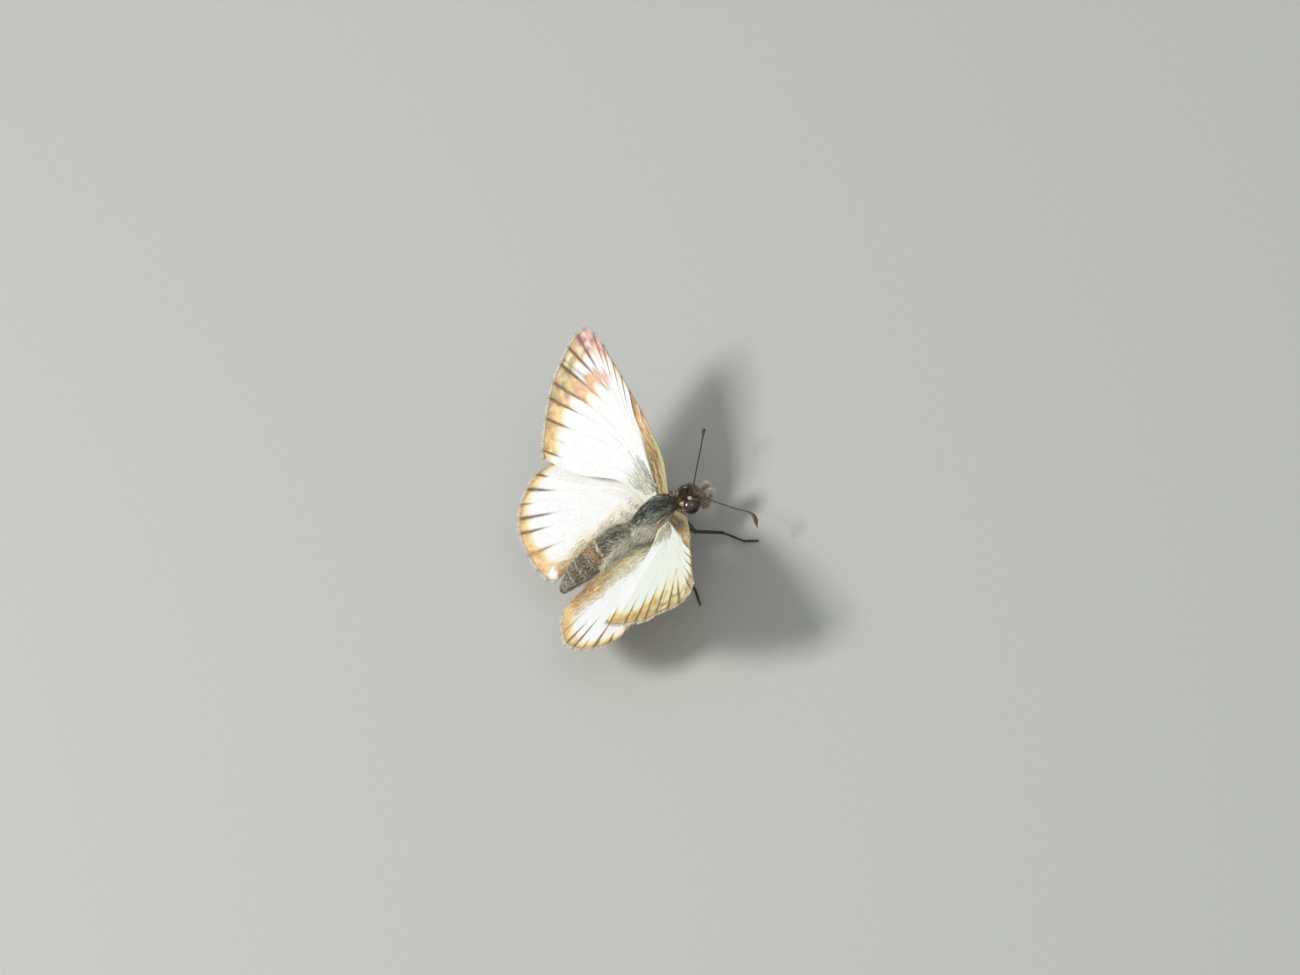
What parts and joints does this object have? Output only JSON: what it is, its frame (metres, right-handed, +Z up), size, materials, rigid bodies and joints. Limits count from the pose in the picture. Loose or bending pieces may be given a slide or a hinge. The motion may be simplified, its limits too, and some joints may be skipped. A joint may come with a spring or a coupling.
{
  "type": "white skipper butterfly model",
  "caption": "Still, life-size white skipper butterfly standing on six legs, wings held open in a shallow V, with brown-edged forewings and hindwings, hooked antennae and bushy palps.",
  "frame": {"origin": "on the ground under the middle of the butterfly's bounding box", "axes": "+Z up; -Y the way the head points; +X the butterfly's own left"},
  "size_m": [0.0352, 0.0184, 0.0102],
  "materials": {
    "fur": "matt grey-brown scales and hair",
    "abdomen_scales": "matt dark brown scales with thin pale rings",
    "eye": "dark brown, softly glossy",
    "palp": "matt buff hair",
    "feeler": "matt dark brown",
    "wing": "matt white scales with brown margins",
    "leg": "matt brown scales"
  },
  "bodies": {
    "root": {"head": "fur", "thorax": "fur", "abdomen": "abdomen_scales", "eye_left": "eye", "palp_left": "palp", "antenna_left": "feeler", "forewing_left": "wing", "hindwing_left": "wing", "foreleg_left": "leg", "midleg_left": "leg", "hindleg_left": "leg", "eye_right": "eye", "palp_right": "palp", "antenna_right": "feeler", "forewing_right": "wing", "hindwing_right": "wing", "foreleg_right": "leg", "midleg_right": "leg", "hindleg_right": "leg"}
  },
  "joints": []
}
